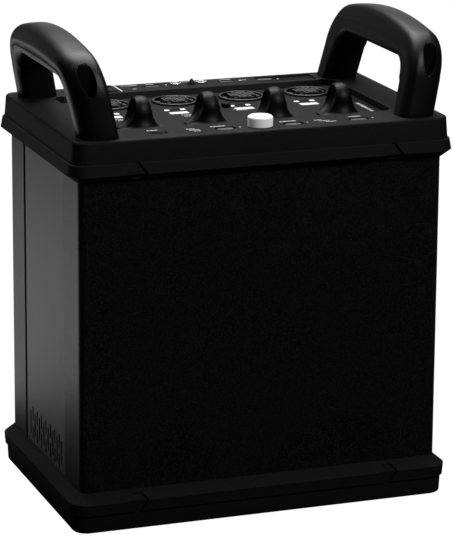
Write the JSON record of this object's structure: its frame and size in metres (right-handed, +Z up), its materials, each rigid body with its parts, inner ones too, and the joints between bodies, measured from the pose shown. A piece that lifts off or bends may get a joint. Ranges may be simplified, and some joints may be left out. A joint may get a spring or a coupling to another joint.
{
  "type": "studio flash power pack",
  "caption": "Upright studio flash generator with bumpers top and bottom, two carrying handles and a sunken panel of dials and lamp sockets.",
  "frame": {"origin": "on the floor under the middle of the case", "axes": "+X to the right along the front, +Y to the back, +Z up"},
  "size_m": [0.31, 0.2052, 0.3746],
  "materials": {
    "bumper": "fine moulded texture, satin",
    "foot_rubber": "matt",
    "textured_sheet": "coarse black powder coat",
    "smooth_sheet": "fine black powder coat",
    "panel_plastic": "satin dark grey",
    "console_plastic": "fine moulded texture",
    "handle_plastic": "fine grained, soft sheen",
    "plug_rubber": "smooth",
    "steel": "zinc plated",
    "dark_steel": "black oxide",
    "sheet_aluminium": "plain",
    "capacitor_sleeve": "shrink sleeve",
    "clamp_plastic": "fibre board",
    "copper": "tinned at the joints",
    "circuit_board": "solder mask",
    "ferrite": "sintered core, taped winding",
    "fan_plastic": "moulded",
    "contact_brass": "turned",
    "display_face": "diffusing window",
    "dark_lens": "smoked, polished",
    "white_lens": "diffusing",
    "socket_plastic": "moulded",
    "insert_plastic": "moulded, glass filled",
    "nickel": "nickel plated",
    "white_button": "satin white",
    "rocker_plastic": "satin",
    "dial_plastic": "soft-touch satin",
    "button_plastic": "satin dark grey"
  },
  "bodies": {
    "housing": {"base_bumper": "bumper", "rubber_feet": "foot_rubber", "front_cover": "textured_sheet", "rear_cover": "textured_sheet", "left_side_panel": "smooth_sheet", "right_side_panel": "smooth_sheet", "top_bumper": "bumper", "control_panel": "panel_plastic", "rear_console": "console_plastic", "left_handle": "handle_plastic", "right_handle": "handle_plastic", "handle_plugs": "plug_rubber", "handle_studs": "steel", "tie_rods": "steel", "base_screws": "dark_steel", "chassis_plate": "sheet_aluminium", "flash_capacitors": "capacitor_sleeve", "capacitor_clamp": "clamp_plastic", "busbars": "copper", "charger_board": "circuit_board", "charger_standoffs": "steel", "charger_heatsink": "sheet_aluminium", "charger_transformer": "ferrite", "fan_housing": "fan_plastic", "control_boards": "circuit_board", "board_standoffs": "contact_brass", "display_bars": "display_face", "channel_windows": "dark_lens", "channel_lamps": "white_lens", "dial_encoders": "steel", "socket_shells": "socket_plastic", "socket_inserts": "insert_plastic", "contact_blocks": "insert_plastic", "socket_contacts": "contact_brass", "switch_bodies": "fan_plastic", "rocker_bezel": "socket_plastic", "sync_jacks": "nickel", "slave_cell": "dark_lens", "usb_socket": "nickel", "mains_inlet": "socket_plastic", "mains_pins": "nickel", "status_window": "dark_lens"},
    "dial_body_1": {"dial_1": "dial_plastic", "dial_shaft_1": "steel"},
    "dial_body_2": {"dial_2": "dial_plastic", "dial_shaft_2": "steel"},
    "dial_body_3": {"dial_3": "dial_plastic", "dial_shaft_3": "steel"},
    "dial_body_4": {"dial_4": "dial_plastic", "dial_shaft_4": "steel"},
    "test_body": {"test_button": "white_button"},
    "front_button_1_body": {"front_button_1": "button_plastic"},
    "front_button_2_body": {"front_button_2": "button_plastic"},
    "front_button_3_body": {"front_button_3": "button_plastic"},
    "rear_button_1_body": {"rear_button_1": "button_plastic"},
    "rear_button_2_body": {"rear_button_2": "button_plastic"},
    "rear_button_3_body": {"rear_button_3": "button_plastic"},
    "rocker_body": {"power_rocker": "rocker_plastic"},
    "fan_body": {"fan_rotor": "fan_plastic"}
  },
  "joints": [
    {"name": "dial_1_turn", "type": "hinge", "parent": "housing", "child": "dial_body_1", "pos_m": [-0.0824, -0.0423, 0.3006], "axis": [0, 0, 1], "continuous": true},
    {"name": "dial_2_turn", "type": "hinge", "parent": "housing", "child": "dial_body_2", "pos_m": [-0.028, -0.0423, 0.3006], "axis": [0, 0, 1], "continuous": true},
    {"name": "dial_3_turn", "type": "hinge", "parent": "housing", "child": "dial_body_3", "pos_m": [0.0264, -0.0423, 0.3006], "axis": [0, 0, 1], "continuous": true},
    {"name": "dial_4_turn", "type": "hinge", "parent": "housing", "child": "dial_body_4", "pos_m": [0.0808, -0.0423, 0.3006], "axis": [0, 0, 1], "continuous": true},
    {"name": "test_press", "type": "slide", "parent": "housing", "child": "test_body", "axis": [0, 0, 1], "range_m": [-0.002, 0], "stiffness_N_per_m": 400, "springref_m": 0.002},
    {"name": "front_button_1_press", "type": "slide", "parent": "housing", "child": "front_button_1_body", "axis": [0, 0, 1], "range_m": [-0.001, 0], "stiffness_N_per_m": 500, "springref_m": 0.001},
    {"name": "front_button_2_press", "type": "slide", "parent": "housing", "child": "front_button_2_body", "axis": [0, 0, 1], "range_m": [-0.001, 0], "stiffness_N_per_m": 500, "springref_m": 0.001},
    {"name": "front_button_3_press", "type": "slide", "parent": "housing", "child": "front_button_3_body", "axis": [0, 0, 1], "range_m": [-0.001, 0], "stiffness_N_per_m": 500, "springref_m": 0.001},
    {"name": "rear_button_1_press", "type": "slide", "parent": "housing", "child": "rear_button_1_body", "axis": [0, 0, 1], "range_m": [-0.001, 0], "stiffness_N_per_m": 500, "springref_m": 0.001},
    {"name": "rear_button_2_press", "type": "slide", "parent": "housing", "child": "rear_button_2_body", "axis": [0, 0, 1], "range_m": [-0.001, 0], "stiffness_N_per_m": 500, "springref_m": 0.001},
    {"name": "rear_button_3_press", "type": "slide", "parent": "housing", "child": "rear_button_3_body", "axis": [0, 0, 1], "range_m": [-0.001, 0], "stiffness_N_per_m": 500, "springref_m": 0.001},
    {"name": "power_switch", "type": "hinge", "parent": "housing", "child": "rocker_body", "pos_m": [-0.0696, 0.0836, 0.3021], "axis": [1, 0, 0], "range_deg": [0, 20]},
    {"name": "fan_spin", "type": "hinge", "parent": "housing", "child": "fan_body", "pos_m": [0.112, 0.0005, 0.0501], "axis": [1, 0, 0], "continuous": true}
  ]
}
